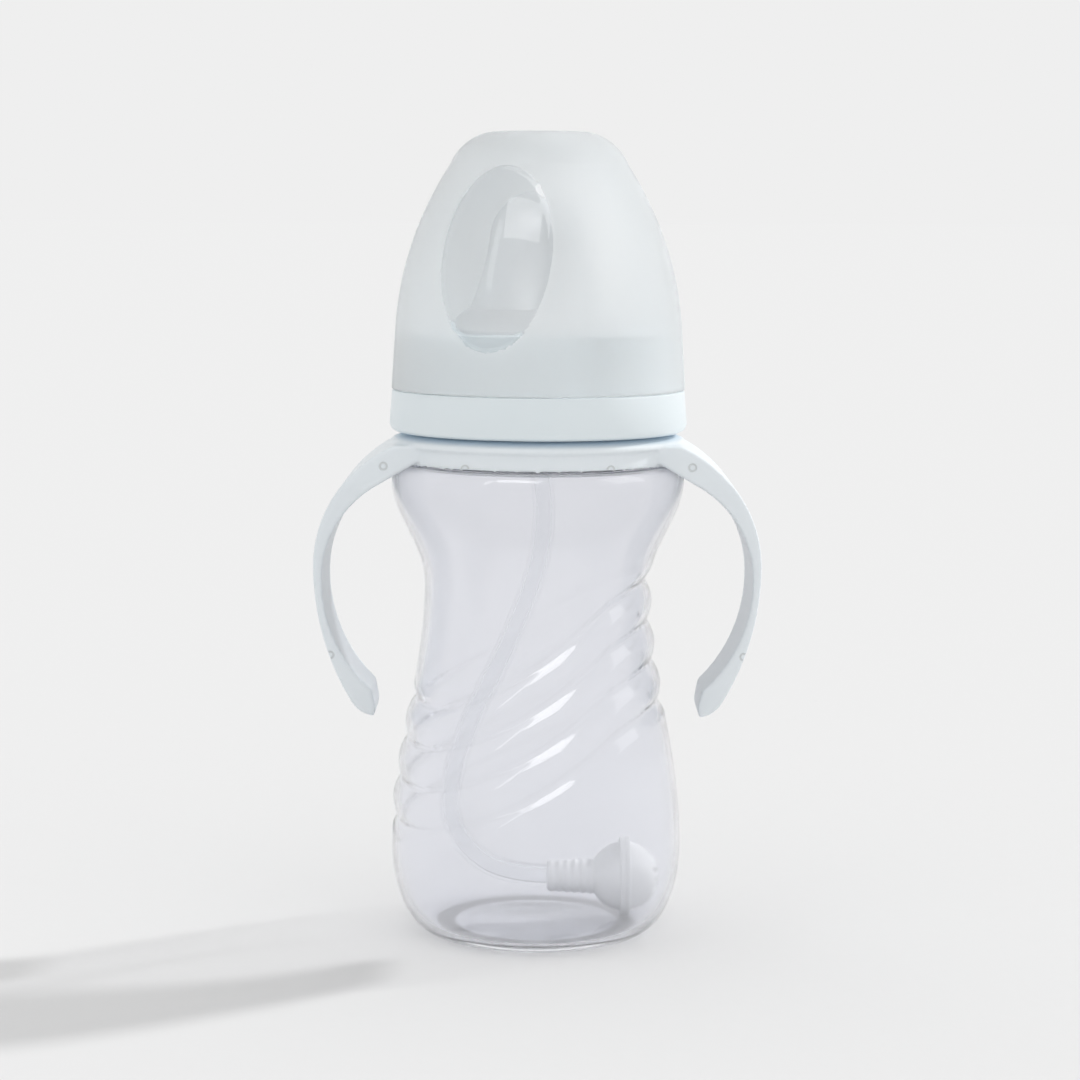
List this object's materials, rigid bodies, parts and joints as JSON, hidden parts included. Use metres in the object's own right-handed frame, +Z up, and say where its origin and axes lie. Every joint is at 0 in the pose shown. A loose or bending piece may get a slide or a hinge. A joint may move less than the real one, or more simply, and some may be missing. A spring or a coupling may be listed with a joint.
{
  "type": "baby bottle",
  "caption": "Wide-neck baby bottle with twisted grip, two-wing handle frame, screw ring, silicone teat, weighted drinking straw and a frosted hood with clear windows.",
  "frame": {"origin": "middle of the foot on the table, on the bottle's axis", "axes": "+Z up the bottle's axis, +X to the right-hand handle, -Y towards the front"},
  "size_m": [0.0996, 0.0668, 0.1806],
  "materials": {
    "clear_body": "clear, glossy, faint violet-blue tint",
    "frosted_hood": "frosted outside, with two polished clear windows",
    "pale_ring": "satin, pale blue-white",
    "pale_handle": "satin, pale blue-white, slightly translucent",
    "silicone": "translucent silicone",
    "white_plastic": "translucent white moulded plastic",
    "steel": "turned stainless steel"
  },
  "bodies": {
    "bottle": {"bottle_body": "clear_body"},
    "handle": {"handle_frame": "pale_handle"},
    "teat_seat": {"teat": "silicone", "straw_seat": "white_plastic"},
    "ring": {"screw_ring": "pale_ring"},
    "straw": {"straw_tube": "silicone", "weight_neck_half": "white_plastic", "weight_inlet_half": "white_plastic", "weight_slug": "steel"},
    "hood": {"hood": "frosted_hood"}
  },
  "joints": [
    {"name": "handle_turn", "type": "hinge", "parent": "bottle", "child": "handle", "pos_m": [0, 0, 0.11], "axis": [0, 0, 1], "continuous": true},
    {"name": "ring_turn", "type": "hinge", "parent": "teat_seat", "child": "ring", "pos_m": [0, 0, 0.12], "axis": [0, 0, 1], "range_deg": [0, 540]},
    {"name": "cap_lift", "type": "slide", "parent": "bottle", "child": "teat_seat", "axis": [0, 0, 1], "range_m": [0, 0.0076]},
    {"name": "hood_lift", "type": "slide", "parent": "ring", "child": "hood", "axis": [0, 0, 1], "range_m": [0, 0.075]},
    {"name": "weight_swing", "type": "hinge", "parent": "teat_seat", "child": "straw", "pos_m": [0, 0, 0.12], "axis": [0, 0, 1], "continuous": true}
  ],
  "couplings": [
    {"joint": "cap_lift", "follows": "ring_turn", "m_per_rad": 0.00079577}
  ]
}
